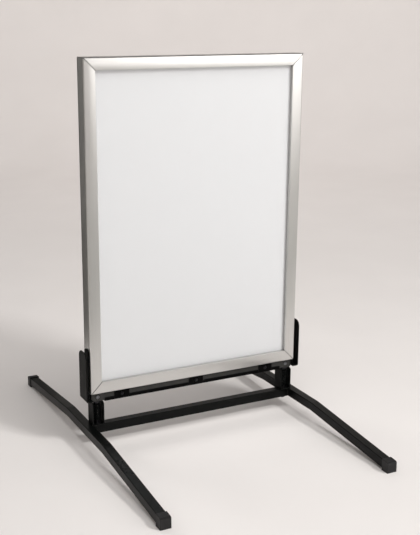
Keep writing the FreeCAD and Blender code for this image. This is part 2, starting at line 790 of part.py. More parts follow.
def edge_strip(name, start, end, sign):
    """Low channel that covers the bar's lower edges from one clamp to the next, or to a post."""
    body = saddle(name, f"({end} - {start})", f"({BAR_UNDER} - clamp_wall + strip_rise)")
    place(body, x=f"{sign}({start} + {end}) / 2")
    finish(body, name)


# Snap frame. A rail is drawn along X with its outer edge up, then turned into place.
# Its section is given by u, the distance in from the outer edge, and y, the distance behind the middle.

SIDES = {
    "top": (SIGN_WIDTH, SIGN_HEIGHT),
    "right": (SIGN_HEIGHT, SIGN_WIDTH),
    "bottom": (SIGN_WIDTH, SIGN_HEIGHT),
    "left": (SIGN_HEIGHT, SIGN_WIDTH),
}
UP = Vector(0, 0, 1)
ACROSS = Vector(1, 0, 0)
DEEP = Vector(0, 1, 0)


def side_turn(side):
    """Rotation from the top of the frame to one of its sides."""
    return quarter_turns(DEEP, list(SIDES).index(side))


def mitre(body, length, across, play):
    """Cut both ends of a rail at 45 degrees, right through."""
    sketch = new_sketch(body, "XZ")
    past = "rail_face"
    edge = f"({across} / 2 + {past})"
    deep = f"({across} / 2 - rail_face - {past})"
    for way in ("", "-"):
        add_outline(sketch, [
            (f"{way}({length} / 2 - {play} + {past})", edge),
            (f"{way}({length} / 2 + 2 * {past})", edge),
            (f"{way}({length} / 2 + 2 * {past})", deep),
            (f"{way}({length} / 2 - {play} - rail_face - {past})", deep),
        ])
    pocket(body, sketch)


def base_rail(side):
    """Hollow extrusion: box for the corner keys, ribs for the sheets, flanges with hinge beads."""
    name = f"base_rail_{side}"
    length, across = SIDES[side]
    body = new_body(name)

    def u(text):
        return f"({across} / 2 - ({text}))"

    section = new_sketch(body, "YZ")
    rib_top = f"({BOX_HALF} + backing_thick + poster_thick + cover_thick - rib_short)"
    flange_back = f"({FLANGE_FRONT} - flange_wall)"
    half = [
        (FLANGE_FRONT, "0"),
        (FLANGE_FRONT, FLANGE_REACH),
        (flange_back, FLANGE_REACH),
        (flange_back, "base_wall"),
        (BOX_HALF, "base_wall"),
        (BOX_HALF, RIB_OUT),
        (rib_top, RIB_OUT),
        (rib_top, RIB_IN),
        (BOX_HALF, RIB_IN),
        (BOX_HALF, "box_reach"),
    ]
    front = [(f"-{y}", u(depth)) for y, depth in half]
    rear = [(y, u(depth)) for y, depth in reversed(half)]
    add_outline(section, front + rear)
    inside = f"({BOX_HALF} - box_wall)"
    add_rectangle(section, f"-{inside}", inside, u("box_reach - box_wall"), u("base_wall"))
    pad(body, section, length)
    necks = new_sketch(body, "YZ")
    slant = "(neck_wall / 2 * sqrt(2))"
    fall = f"({BEAD_Y} - {FLANGE_FRONT} + flange_wall / 2)"
    for way in ("", "-"):
        add_outline(necks, [
            (f"{way}{BEAD_Y}", u(f"bead_inset - {slant}")),
            (f"{way}{BEAD_Y}", u(f"bead_inset + {slant}")),
            (f"{way}({BEAD_Y} - {fall})", u(f"bead_inset + {slant} + {fall}")),
            (f"{way}({BEAD_Y} - {fall})", u(f"bead_inset - {slant} + {fall}")),
        ])
    pad(body, necks, length)
    beads = new_sketch(body, "YZ")
    for way in ("", "-"):
        add_circle(beads, f"{way}{BEAD_Y}", u("bead_inset"), "bead_radius")
    pad(body, beads, length)
    mitre(body, length, across, "0")
    if side in ("left", "right"):
        drop = f"({SIGN_HEIGHT} / 2 - rivet_low)"
        way = "" if side == "right" else "-"
        spots = [(f"{way}{drop}", "0"), (f"{way}({drop} - rivet_pitch)", "0")]
        drill_wall(body, "XY", f"{across} / 2", spots, "3 * base_wall")
    place(body, z=FRAME_MIDDLE, turn=side_turn(side))
    finish(body, name)


def snap_rail(face, side):
    """Hinged rail: crowned face, outer knuckle with a groove for the bead, and the lip that holds the sheets."""
    name = f"{face}_rail_{side}"
    length, across = SIDES[side]
    way = "-" if face == "front" else ""
    body = new_body(name)

    def u(text):
        return f"({across} / 2 - ({text}))"

    section = new_sketch(body, "YZ")
    inner_face = "(sign_depth / 2 - rail_wall)"
    lip_tip = "(sign_depth / 2 - lip_reach)"
    outline = [
        (FACE_EDGE, "0"),
        (FACE_EDGE, "rail_face"),
        (lip_tip, "rail_face"),
        (lip_tip, "rail_face - rail_wall"),
        (inner_face, "rail_face - rail_wall"),
        (inner_face, "2 * bead_inset"),
        (BEAD_Y, "2 * bead_inset"),
        (BEAD_Y, "0"),
    ]
    crown = (f"{way}(sign_depth / 2 - {FACE_RADIUS})", u("rail_face / 2"), FACE_RADIUS)
    add_outline(section, [(f"{way}({y})", u(depth)) for y, depth in outline], {0: crown})
    pad(body, section, length)
    round_edges(body, along("x", y=FACE_EDGE, z=u("0")), "rail_round")
    round_edges(body, along("x", y=FACE_EDGE, z=u("rail_face")), "lip_round")
    groove = new_sketch(body, "YZ")
    add_circle(groove, f"{way}{BEAD_Y}", u("bead_inset"), GROOVE_RADIUS)
    pocket(body, groove)
    relief = "(bead_inset + bead_play)"
    for end in ("", "-"):
        notch = new_sketch(body, "YZ")
        notch.setExpression("AttachmentOffset.Base.z", bind(f"{end}{length} / 2"))
        knuckle = [f"{way}{BEAD_Y}", f"{way}({BEAD_Y} + {relief})"]
        add_rectangle(notch, *knuckle, u("2 * bead_inset"), u("0"))
        pocket(body, notch, f"2 * {relief}")
    mitre(body, length, across, "mitre_gap")
    place(body, z=FRAME_MIDDLE, turn=side_turn(side))
    finish(body, name)


def corner_key(name, turn):
    """Angle that joins two base rails from inside their boxes."""
    body = new_body(name)
    sketch = new_sketch(body, "XZ")
    x_out = f"({SIGN_WIDTH} / 2 - base_wall - key_play)"
    z_out = f"({SIGN_HEIGHT} / 2 - base_wall - key_play)"
    add_outline(sketch, [
        (x_out, z_out),
        (x_out, f"{z_out} - key_leg"),
        (f"{x_out} - key_wall", f"{z_out} - key_leg"),
        (f"{x_out} - key_wall", f"{z_out} - key_wall"),
        (f"{x_out} - key_leg", f"{z_out} - key_wall"),
        (f"{x_out} - key_leg", z_out),
    ])
    pad(body, sketch, f"2 * ({BOX_HALF} - box_wall - key_play)")
    place(body, z=FRAME_MIDDLE, turn=turn)
    finish(body, name)


def sheet_piece(name, thick, near_face, way):
    """Flat sheet of the poster's size; near_face is its side towards the frame's middle."""
    box = doc.addObject("Part::Box", f"{name}_box")
    box.setExpression("Length", bind("poster_width"))
    box.setExpression("Width", bind(thick))
    box.setExpression("Height", bind("poster_height"))
    low = near_face if way > 0 else f"-({near_face} + {thick})"
    place(box, x="-poster_width / 2", y=low, z=f"{FRAME_MIDDLE} - poster_height / 2")
    finish(box, name)


def snap_clips(face):
    """Bowed leaf springs under the snap rails of one face, two to a rail."""
    way = -1 if face == "front" else 1
    shelf = measure(BOX_HALF)
    crest = measure("sign_depth / 2 - rail_wall - clip_play")
    wall = measure("clip_wall")
    start = measure(f"{FLANGE_REACH} + clip_margin")
    span = measure(f"{RIB_OUT} - clip_margin") - start
    length = measure("clip_length")
    foot = span / 5
    outside = [
        (start, shelf),
        (start + foot, shelf),
        (start + 2 * foot, crest - wall),
        (start + 3 * foot, crest - wall),
        (start + 4 * foot, shelf),
        (start + span, shelf),
        (start + span, shelf + wall),
        (start + 4 * foot + wall, shelf + wall),
        (start + 3 * foot + wall, crest),
        (start + 2 * foot - wall, crest),
        (start + foot - wall, shelf + wall),
        (start, shelf + wall),
    ]
    clips = []
    for side, (run, across) in SIDES.items():
        edge = measure(f"{across} / 2")
        offset = measure(f"{run} / 2 - clip_from_end")
        corners = [Vector(-length / 2, way * y, edge - u) for u, y in outside]
        bow = Part.Face(Part.makePolygon(corners + corners[:1])).extrude(Vector(length, 0, 0))
        for x in (-offset, offset):
            clip = bow.copy()
            clip.translate(Vector(x, 0, 0))
            seat = Placement(Vector(0, 0, measure(FRAME_MIDDLE)), side_turn(side))
            clip.Placement = seat * clip.Placement
            clips.append(clip)
    name = f"{face}_snap_clips"
    piece = doc.addObject("Part::Feature", f"{name}_set")
    piece.Shape = Part.makeCompound(clips)
    finish(piece, name)


# Build the base
HALF_TURN = quarter_turns(UP, 2)
for side, sign in (("left", "-"), ("right", "")):
    leg(f"{side}_leg", f"{sign}{LEG_X}")
    foot_cap(f"{side}_rear_cap", f"{sign}{LEG_X}", None)
    foot_cap(f"{side}_front_cap", f"{sign}{LEG_X}", HALF_TURN)
    post(f"{side}_post", f"{sign}{SPRING_X}")
    plug(f"{side}_lower_plug", f"{sign}{SPRING_X}", f"{POST_FOOT} + post_sheet", "+", False)
    spring(f"{side}_spring", f"{sign}{SPRING_X}")
crossbar()
base_bolts()

# Build the sign
frame_bar()
bracket("left_bracket", HALF_TURN)
bracket("right_bracket", None)
for side, sign in (("left", "-"), ("right", "")):
    plug(f"{side}_upper_plug", f"{sign}{SPRING_X}", BAR_UNDER, "-", True)
cross_bolts()
for side, spot in (("left", f"-{CLAMP_X}"), ("middle", "0"), ("right", CLAMP_X)):
    clamp(f"{side}_clamp", spot)
PAST_CLAMP = "(clamp_width / 2 + strip_gap)"
for side, sign in (("left", "-"), ("right", "")):
    edge_strip(f"{side}_strip", PAST_CLAMP, f"({CLAMP_X} - {PAST_CLAMP})", sign)
    edge_strip(f"{side}_end_strip", f"({CLAMP_X} + {PAST_CLAMP})", STRIP_END, sign)
clamp_screws()
bracket_rivets()
for side in SIDES:
    base_rail(side)
for corner, turn in (
    ("top_right", None),
    ("top_left", HALF_TURN),
    ("bottom_right", quarter_turns(ACROSS, 2)),
    ("bottom_left", quarter_turns(DEEP, 2)),
):
    corner_key(f"{corner}_key", turn)
for face, way in (("front", -1), ("rear", 1)):
    sheet_piece(f"{face}_backing", "backing_thick", BOX_HALF, way)
    sheet_piece(f"{face}_poster", "poster_thick", f"({BOX_HALF} + backing_thick)", way)
    sheet_piece(f"{face}_cover", "cover_thick", f"({BOX_HALF} + backing_thick + poster_thick)", way)
    snap_clips(face)
    for side in SIDES:
        snap_rail(face, side)
doc.recompute()

# Check everything, then write one file for each piece
for item in doc.Objects:
    if "Invalid" in item.State or "Error" in item.State:
        raise RuntimeError(f"{item.Label} failed: {item.State}")
for piece in parts:
    if piece.Shape.isNull() or not piece.Shape.isValid():
        raise RuntimeError(f"{piece.Label} has no valid shape")
os.makedirs("parts", exist_ok=True)
for piece in parts:
    piece.Shape.exportStep(f"parts/{piece.Label}.step")
print(f"{len(parts)} pieces written")
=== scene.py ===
# %% [markdown]
# # Dressing a pavement sign
#
# The CAD program has already made every rigid piece of this sign: the bent legs, the crossbar,
# the posts, and the aluminium frame with its eight snap rails. Here we give those pieces paint,
# metal and paper, wind the two springs, and set up a small studio round the sign.
# The first cell loads the imported model. It also defines a helper that measures the box round
# everything that is shown, and the last cell prints that box.

import math

import bmesh
import bpy
from mathutils import Matrix, Vector, geometry


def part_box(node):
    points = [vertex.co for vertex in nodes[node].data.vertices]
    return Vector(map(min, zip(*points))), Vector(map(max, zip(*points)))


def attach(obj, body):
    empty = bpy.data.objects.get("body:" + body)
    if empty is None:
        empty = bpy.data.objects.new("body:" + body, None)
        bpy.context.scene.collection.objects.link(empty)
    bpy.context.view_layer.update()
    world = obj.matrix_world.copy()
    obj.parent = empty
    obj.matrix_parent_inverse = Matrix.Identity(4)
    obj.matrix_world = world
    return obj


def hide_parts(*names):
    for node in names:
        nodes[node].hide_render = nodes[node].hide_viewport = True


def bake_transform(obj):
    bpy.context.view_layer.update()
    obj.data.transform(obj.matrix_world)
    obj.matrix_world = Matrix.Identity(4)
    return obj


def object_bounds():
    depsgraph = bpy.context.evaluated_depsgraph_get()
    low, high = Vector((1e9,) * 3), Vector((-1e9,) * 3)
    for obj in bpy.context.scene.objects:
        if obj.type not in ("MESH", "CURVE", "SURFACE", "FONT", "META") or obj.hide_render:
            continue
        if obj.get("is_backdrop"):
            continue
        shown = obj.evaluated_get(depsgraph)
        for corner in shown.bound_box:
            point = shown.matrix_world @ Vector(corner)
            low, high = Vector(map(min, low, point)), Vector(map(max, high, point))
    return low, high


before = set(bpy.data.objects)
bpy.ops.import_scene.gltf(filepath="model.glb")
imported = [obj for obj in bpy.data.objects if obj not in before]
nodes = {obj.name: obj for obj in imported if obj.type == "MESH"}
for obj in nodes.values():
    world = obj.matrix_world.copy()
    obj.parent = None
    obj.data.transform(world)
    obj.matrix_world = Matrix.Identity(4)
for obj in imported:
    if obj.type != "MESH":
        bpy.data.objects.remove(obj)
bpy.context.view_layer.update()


def box_text(low, high):
    return " by ".join(f"{side:.3f}" for side in high - low)


# %% [markdown]
# ## A camera where the photographer stood
#
# We could turn a camera by hand until the picture looks right. It is surer to work it out:
# the four corners of a frame of known size fix the place, the direction and the lens of the
# camera. The photograph was cropped a little off centre, which Blender's lens shift repeats.

# %% Place the camera
IMAGE_WIDTH = 420
IMAGE_HEIGHT = 535
FOCAL_PIXELS = 979.0
CENTRE_PIXEL = Vector((193.1, 272.3))
CAMERA_PLACE = Vector((-1.1709, -2.3250, 1.1579))
CAMERA_YAW = math.radians(26.66)
CAMERA_PITCH = math.radians(15.19)
CAMERA_ROLL = math.radians(0.24)
SENSOR = 36.0
MATRIX_ROWS = 4


def put(name, data):
    """A new object in the scene, made from a mesh, a curve, a light or a camera."""
    thing = bpy.data.objects.new(name, data)
    bpy.context.scene.collection.objects.link(thing)
    return thing


def turned(angle, axis):
    return Matrix.Rotation(angle, MATRIX_ROWS, axis)


lens = bpy.data.cameras.new("photo_camera")
lens.sensor_fit = "AUTO"
lens.sensor_width = SENSOR
lens.lens = FOCAL_PIXELS * SENSOR / IMAGE_HEIGHT
lens.shift_x = (IMAGE_WIDTH / 2 - CENTRE_PIXEL.x) / IMAGE_HEIGHT
lens.shift_y = (CENTRE_PIXEL.y - IMAGE_HEIGHT / 2) / IMAGE_HEIGHT
camera = put("photo_camera", lens)
level = turned(-CAMERA_YAW, "Z")
tipped = turned(math.pi / 2 - CAMERA_PITCH, "X")
rolled = turned(CAMERA_ROLL, "Z")
camera.matrix_world = Matrix.Translation(CAMERA_PLACE) @ level @ tipped @ rolled
bpy.context.scene.camera = camera
print(f"lens {lens.lens:.1f} mm, shift {lens.shift_x:.3f}, {lens.shift_y:.3f}")

# %% [markdown]
# ## Sums with sockets
#
# A finish is a graph of nodes, and a graph that mixes a few textures soon has twenty Math nodes.
# They are easier to write as Python: a `Field` wraps the output of a node, and adding or
# multiplying two fields adds the Math node for it. A `Graph` makes every other kind of node
# with one method, which sets the node's own settings first and then fills its sockets.

# %% Fields and graphs
class Field:
    """What a node gives out, usable in Python sums."""

    def __init__(self, graph, socket):
        self.graph = graph
        self.socket = socket

    def sum(self, operation, first, second, clamp=False):
        settings = {"operation": operation, "use_clamp": clamp}
        return self.graph.node("ShaderNodeMath", settings, {0: first, 1: second})

    def __add__(self, other):
        return self.sum("ADD", self, other)

    def __sub__(self, other):
        return self.sum("SUBTRACT", self, other)

    def __rsub__(self, other):
        return self.sum("SUBTRACT", other, self)

    def __mul__(self, other):
        return self.sum("MULTIPLY", self, other)

    def __abs__(self):
        return self.sum("ABSOLUTE", self, 0.0)

    __radd__ = __add__
    __rmul__ = __mul__

    def limited(self):
        return self.sum("ADD", self, 0.0, clamp=True)


class Graph:
    """The nodes of one material or of the world."""

    SOCKETS = {"specular_ior_level": "Specular IOR Level"}

    # The Mix node has sockets for numbers, vectors and colours. These are the places it uses
    # for colours.
    MIX_SHARE = 0
    MIX_FIRST = 6
    MIX_SECOND = 7
    MIX_COLOUR = 2

    def __init__(self, owner):
        owner.use_nodes = True
        self.owner = owner
        self.tree = owner.node_tree

    def feed(self, socket, value):
        if isinstance(value, Field):
            self.tree.links.new(value.socket, socket)
        else:
            socket.default_value = value

    def node(self, kind, settings=None, sockets=None, output=0):
        made = self.tree.nodes.new(kind)
        for key, value in (settings or {}).items():
            setattr(made, key, value)
        for key, value in (sockets or {}).items():
            self.feed(made.inputs[key], value)
        return Field(self, made.outputs[output])

    def mix(self, share, first, second):
        """First colour where share is 0, second where it is 1."""
        settings = {"data_type": "RGBA", "clamp_factor": True}
        sockets = {self.MIX_SHARE: share, self.MIX_FIRST: first, self.MIX_SECOND: second}
        return self.node("ShaderNodeMix", settings, sockets, output=self.MIX_COLOUR)

    def surface(self, **sockets):
        """Feeds the Principled shader; base_color stands for Base Color."""
        shader = self.tree.nodes["Principled BSDF"]
        for key, value in sockets.items():
            self.feed(shader.inputs[self.SOCKETS.get(key, key.replace("_", " ").title())], value)


def finish(name):
    return Graph(bpy.data.materials.new(name))


print("sums ready")

# %% [markdown]
# ## Textures that every finish shares
#
# All our textures read object coordinates. They are in metres, so a scale of 700 means 700
# waves to the metre, and they ride with the piece: when a rail swings open its grain goes along.
# A noise runs from 0 to 1 about a mean of one half, so taking that half away lets it sway a value
# to both sides.
# The last helper finds worn edges. Blender's Bevel node gives the normal that a rounded edge
# would have, and wherever that differs from the real normal we are close to an edge.

# %% Noise, relief and worn edges
NOISE_MEAN = 0.5
EDGE_GAIN = 9.0
EDGE_RAYS = 6
EDGE_PATCHES = 160.0


def at(graph):
    return graph.node("ShaderNodeTexCoord", output="Object")


def part(graph, vector, axis):
    return graph.node("ShaderNodeSeparateXYZ", {}, {"Vector": vector}, output=axis)


def stretched(graph, scale):
    """Object coordinates, multiplied along each axis."""
    return graph.node("ShaderNodeVectorMath", {"operation": "MULTIPLY"}, {0: at(graph), 1: scale})


def noise(graph, scale, detail, vector=None):
    sockets = {"Vector": vector or at(graph), "Scale": scale, "Detail": detail}
    return graph.node("ShaderNodeTexNoise", {}, sockets)


def sway(field, reach):
    """A noise that goes as far below zero as above it."""
    return reach * (field - NOISE_MEAN)


def relief(graph, height, depth):
    """A bump of the given depth in metres."""
    return graph.node("ShaderNodeBump", {}, {"Height": height, "Distance": depth})


def worn_edges(graph, width):
    """0 on the flats, rising to 1 within the given width of an edge."""
    rounded = graph.node("ShaderNodeBevel", {"samples": EDGE_RAYS}, {"Radius": width})
    flat = graph.node("ShaderNodeNewGeometry", output="Normal")
    same = graph.node(
        "ShaderNodeVectorMath", {"operation": "DOT_PRODUCT"}, {0: rounded, 1: flat}, output="Value"
    )
    patchy = noise(graph, EDGE_PATCHES, detail=3.0)
    return ((1.0 - same) * EDGE_GAIN * patchy).limited()


print("textures ready")

# %% [markdown]
# ## Black powder coat
#
# The legs, the bars and the brackets are steel with a satin black powder coat. Powder melts
# into a skin with a fine orange peel, about one and a half millimetres from hill to hill, and
# never dries quite evenly. A flat black would look like plastic, so the skin gets that relief,
# a cloudy roughness, and a little grey along the edges where a sign on a pavement is knocked.
# The bar under the frame is a shade lighter than the legs, and the posts and brackets are duller,
# so one function makes all the coats. The lacquer of the springs is one more of them.

# %% Powder coat
PEEL_SCALE = 650.0
PEEL_DEPTH = 0.00005
COAT_CLOUDS = 12.0
COAT_SWAY = 0.16
RUB_SHARE = 0.5
RUB_DULL = 0.15
TUBE_EDGE = 0.0012
WIRE_EDGE = 0.0006
BLACK_DEEP = (0.0020, 0.0024, 0.0023, 1.0)
BLACK_PALE = (0.0042, 0.0047, 0.0045, 1.0)
GRAPHITE_DEEP = (0.0260, 0.0260, 0.0246, 1.0)
GRAPHITE_PALE = (0.0340, 0.0340, 0.0322, 1.0)
BLACK_RUBBED = (0.0500, 0.0500, 0.0490, 1.0)


def powder_coat(name, deep, pale, shine, roughness, edge=TUBE_EDGE):
    graph = finish(name)
    peel = noise(graph, PEEL_SCALE, detail=2.0)
    cloud = noise(graph, COAT_CLOUDS, detail=4.0)
    rub = worn_edges(graph, edge)
    skin = graph.mix(cloud, deep, pale)
    graph.surface(
        base_color=graph.mix(rub * RUB_SHARE, skin, BLACK_RUBBED),
        roughness=roughness + sway(cloud, COAT_SWAY) + RUB_DULL * rub,
        specular_ior_level=shine,
        normal=relief(graph, peel, PEEL_DEPTH),
    )
    return graph.owner


paint = powder_coat("black_powder_coat", BLACK_DEEP, BLACK_PALE, shine=0.10, roughness=0.30)
bar_paint = powder_coat(
    "graphite_powder_coat", GRAPHITE_DEEP, GRAPHITE_PALE, shine=0.28, roughness=0.34
)
post_paint = powder_coat("matt_powder_coat", BLACK_DEEP, BLACK_PALE, shine=0.07, roughness=0.40)
lacquer = powder_coat(
    "spring_lacquer", BLACK_DEEP, BLACK_PALE, shine=0.05, roughness=0.26, edge=WIRE_EDGE
)
print("made", paint.name, bar_paint.name, post_paint.name, lacquer.name)

# %% [markdown]
# ## Moulded feet and clamps, and strips of painted shade
#
# The caps on the leg ends are moulded plastic. A mould for feet is usually spark eroded, which
# leaves a fine even pebble that hides scuffs. Cells of a Voronoi texture make that pebble, and a
# slower noise dulls it in patches, as handling does. The clamps on the bar are moulded too, in a
# deeper and duller black. The strips along the bar's lower edge get the same near black, which
# stands for the painted shade along the underside of the bar.

# %% Moulded plastic
PEBBLE_SCALE = 850.0
PEBBLE_DEPTH = 0.00008
DULL_PATCHES = 40.0
DULL_SWAY = 0.2
PLASTIC_ROUGHNESS = 0.55
PLASTIC_EDGE = 0.0015
SCUFF_SHARE = 0.4
SCUFFED = (0.05, 0.05, 0.05, 1.0)
CAP_DEEP = (0.0075, 0.0075, 0.0078, 1.0)
CAP_PALE = (0.0130, 0.0130, 0.0135, 1.0)
# Near black for the clamps, and for the strips that paint the shade along the bar's lower edge.
CLAMP_AND_SHADE_DEEP = (0.0012, 0.0012, 0.0012, 1.0)
CLAMP_AND_SHADE_PALE = (0.0024, 0.0024, 0.0024, 1.0)


def moulded_plastic(name, deep, pale, shine):
    graph = finish(name)
    pebble = graph.node("ShaderNodeTexVoronoi", {}, {"Vector": at(graph), "Scale": PEBBLE_SCALE})
    dull = noise(graph, DULL_PATCHES, detail=3.0)
    scuff = worn_edges(graph, PLASTIC_EDGE)
    body = graph.mix(dull, deep, pale)
    graph.surface(
        base_color=graph.mix(scuff * SCUFF_SHARE, body, SCUFFED),
        roughness=PLASTIC_ROUGHNESS + sway(dull, DULL_SWAY),
        specular_ior_level=shine,
        normal=relief(graph, pebble, PEBBLE_DEPTH),
    )
    return graph.owner


cap_plastic = moulded_plastic("moulded_cap_plastic", CAP_DEEP, CAP_PALE, shine=0.35)
clamp_and_shade_strip_plastic = moulded_plastic("clamp_and_shade_strip_black", CLAMP_AND_SHADE_DEEP, CLAMP_AND_SHADE_PALE, shine=0.04)
print("made", cap_plastic.name, "and", clamp_and_shade_strip_plastic.name)

# %% [markdown]
# ## Painted shade in the corners of the frame
#
# The gap where two rails meet lies in shade, and here that shade is painted: the sawn ends in the
# gap go near black, and so does a narrow band along each joint. The sawn ends are easy to find,
# because no other face looks halfway between X and Z. The joint itself is the line that is as far
# in from the side of the frame as from its top or bottom, so one difference of two distances finds
# all four of them.

# %% Mitred corners
# How sharply the sawn ends are picked out, and how wide the painted shade along each joint is.
CUT_GAIN = 10.0
MITRE_SHADE_WIDTH = 0.003

frame_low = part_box("base_rail_bottom")[0]
frame_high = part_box("base_rail_top")[1]


def saw_cut_painted_shade(graph):
    """Painted shade of the gap: 1 on the mitred ends, whose normal lies between X and Z, else 0.
    """
    normal = graph.node("ShaderNodeTexCoord", output="Normal")
    x = part(graph, normal, "X")
    z = part(graph, normal, "Z")
    return (CUT_GAIN * (x * x * z * z) - 1.0).limited()


def joint_painted_shade(graph):
    """Painted shade: 1 along the four mitred joints, falling to 0 within its width."""
    x = part(graph, at(graph), "X")
    z = part(graph, at(graph), "Z")
    half_height = (frame_high.z - frame_low.z) / 2
    middle = (frame_high.z + frame_low.z) / 2
    from_side = frame_high.x - abs(x)
    from_end = half_height - abs(z - middle)
    return (1.0 - abs(from_side - from_end) * (1.0 / MITRE_SHADE_WIDTH)).limited()


print(f"frame from {frame_low.z:.3f} to {frame_high.z:.3f} m above the floor")

# %% [markdown]
# ## Drawn aluminium
#
# The frame's rails are pushed through a die, so faint lines run along each of them, and then
# they are satin anodised. The lines have to turn with the rail: along X on the top and bottom
# rails, along Z on the sides. We stretch a noise hard in that one direction and let it sway the
# colour, the roughness and a relief of a few thousandths of a millimetre.

# %% Aluminium
LINES_ACROSS = 1500.0
LINES_ALONG = 4.0
LINE_DEPTH = 0.000006
LINE_SHARE = 0.6
LINE_SWAY = 0.16
METAL_CLOUDS = 7.0
METAL_CLOUD_SWAY = 0.08
METAL_ROUGHNESS = 0.31
METAL_EDGE = 0.0006
METAL_RUB_SHARE = 0.5
# How strong the painted shade along each mitred joint is.
MITRE_SHADE_SHARE = 0.6
SILVER_LOW = (0.60, 0.595, 0.58, 1.0)
SILVER_HIGH = (0.70, 0.695, 0.68, 1.0)
SILVER_RUBBED = (0.82, 0.82, 0.81, 1.0)
# The near black of the painted shade in and beside the mitre gaps.
MITRE_SHADE_BLACK = (0.030, 0.030, 0.029, 1.0)


def drawn_aluminium(name, along):
    graph = finish(name)
    scale = Vector((LINES_ACROSS, LINES_ACROSS, LINES_ACROSS))
    scale["xyz".index(along)] = LINES_ALONG
    lines = noise(graph, 1.0, detail=3.0, vector=stretched(graph, scale))
    cloud = noise(graph, METAL_CLOUDS, detail=3.0)
    rub = worn_edges(graph, METAL_EDGE)
    skin = graph.mix(LINE_SHARE * lines + (1.0 - LINE_SHARE) * cloud, SILVER_LOW, SILVER_HIGH)
    rubbed = graph.mix(rub * METAL_RUB_SHARE, skin, SILVER_RUBBED)
    # Painted shade: the sawn ends in the mitre gaps and a band along each joint go near black.
    mitre_shade = (saw_cut_painted_shade(graph) + MITRE_SHADE_SHARE * joint_painted_shade(graph)).limited()
    graph.surface(
        base_color=graph.mix(mitre_shade, rubbed, MITRE_SHADE_BLACK),
        metallic=1.0,
        roughness=METAL_ROUGHNESS + sway(lines, LINE_SWAY) + sway(cloud, METAL_CLOUD_SWAY),
        normal=relief(graph, lines, LINE_DEPTH),
    )
    return graph.owner


level_metal = drawn_aluminium("aluminium_level", "x")
upright_metal = drawn_aluminium("aluminium_upright", "z")
print("made", level_metal.name, "and", upright_metal.name)

# %% [markdown]
# ## Steel that is not painted
#
# The screws, rivets and plugs are steel with a black zinc coat, which is thin enough for the
# metal to shine through; the two bolts at the ends of the bar are bright zinc. The leaf springs
# that snap the rails shut are bare spring steel, with the faint straw tint that tempering leaves.
# All of it is metal with a cloudy stain and fine upright scratches, so only the tones differ.

# %% Fasteners and clips
STAIN_SCALE = 90.0
STAIN_SWAY = 0.2
SCRATCHES = Vector((1800.0, 1800.0, 90.0))
SCRATCH_DEPTH = 0.00001
STEEL_EDGE = 0.0005
STEEL_RUB_SHARE = 0.6
STEEL_RUBBED = (0.42, 0.42, 0.42, 1.0)
BLACK_ZINC_DARK = (0.02, 0.02, 0.022, 1.0)
BLACK_ZINC_LIGHT = (0.05, 0.05, 0.055, 1.0)
BRIGHT_ZINC_DARK = (0.24, 0.25, 0.27, 1.0)
BRIGHT_ZINC_LIGHT = (0.36, 0.37, 0.40, 1.0)
STRAW_DARK = (0.42, 0.39, 0.33, 1.0)
STRAW_LIGHT = (0.58, 0.56, 0.52, 1.0)


def bare_steel(name, dark, light, roughness):
    graph = finish(name)
    stain = noise(graph, STAIN_SCALE, detail=4.0)
    scratch = noise(graph, 1.0, detail=2.0, vector=stretched(graph, SCRATCHES))
    rub = worn_edges(graph, STEEL_EDGE)
    skin = graph.mix(stain, dark, light)
    graph.surface(
        base_color=graph.mix(rub * STEEL_RUB_SHARE, skin, STEEL_RUBBED),
        metallic=1.0,
        roughness=roughness + sway(stain, STAIN_SWAY),
        normal=relief(graph, scratch, SCRATCH_DEPTH),
    )
    return graph.owner


black_zinc = bare_steel("black_zinc", BLACK_ZINC_DARK, BLACK_ZINC_LIGHT, roughness=0.34)
bright_zinc = bare_steel("bright_zinc", BRIGHT_ZINC_DARK, BRIGHT_ZINC_LIGHT, roughness=0.32)
spring_steel = bare_steel("spring_steel", STRAW_DARK, STRAW_LIGHT, roughness=0.30)
print("made", black_zinc.name, bright_zinc.name, spring_steel.name)

# %% [markdown]
# ## Paper and board
#
# A blank poster lies on a backing board. Paper is never one white: its fibres make a mottle that
# can only be seen close up. A fine noise gives the fibres and a coarse one the uneven pulp.

# %% Sheets
FIBRE_SCALE = 900.0
FIBRE_DEPTH = 0.000004
FIBRE_SHARE = 0.5
FIBRE_SWAY = 0.12
PULP_CLOUDS = 25.0
POSTER_LOW = (0.635, 0.648, 0.662, 1.0)
POSTER_HIGH = (0.680, 0.693, 0.706, 1.0)
BOARD_LOW = (0.52, 0.52, 0.50, 1.0)
BOARD_HIGH = (0.60, 0.60, 0.58, 1.0)


def paper(name, low, high, roughness):
    graph = finish(name)
    fibre = noise(graph, FIBRE_SCALE, detail=5.0)
    cloud = noise(graph, PULP_CLOUDS, detail=3.0)
    graph.surface(
        base_color=graph.mix(FIBRE_SHARE * fibre + (1.0 - FIBRE_SHARE) * cloud, low, high),
        roughness=roughness + sway(fibre, FIBRE_SWAY),
        normal=relief(graph, fibre, FIBRE_DEPTH),
    )
    return graph.owner


poster_paper = paper("poster_paper", POSTER_LOW, POSTER_HIGH, roughness=0.65)
backing_board = paper("backing_board", BOARD_LOW, BOARD_HIGH, roughness=0.55)
print("made", poster_paper.name, "and", backing_board.name)

# %% [markdown]
# ## Clear film
#
# A cover of matt film keeps the rain off the poster. It is mostly see-through and only adds a
# soft sheen. A glass shader would bend the light, which a thin film hardly does, and would be
# slow; Alpha is enough.

# %% Film
FILM_TINT = (0.95, 0.96, 0.97, 1.0)
FILM_ROUGHNESS = 0.34
FILM_VEIL = 0.06
RIPPLE_SCALE = 6.0
RIPPLE_DEPTH = 0.0004
TOOTH_SCALE = 1200.0
TOOTH_SWAY = 0.04
TOOTH_VEIL = 0.01


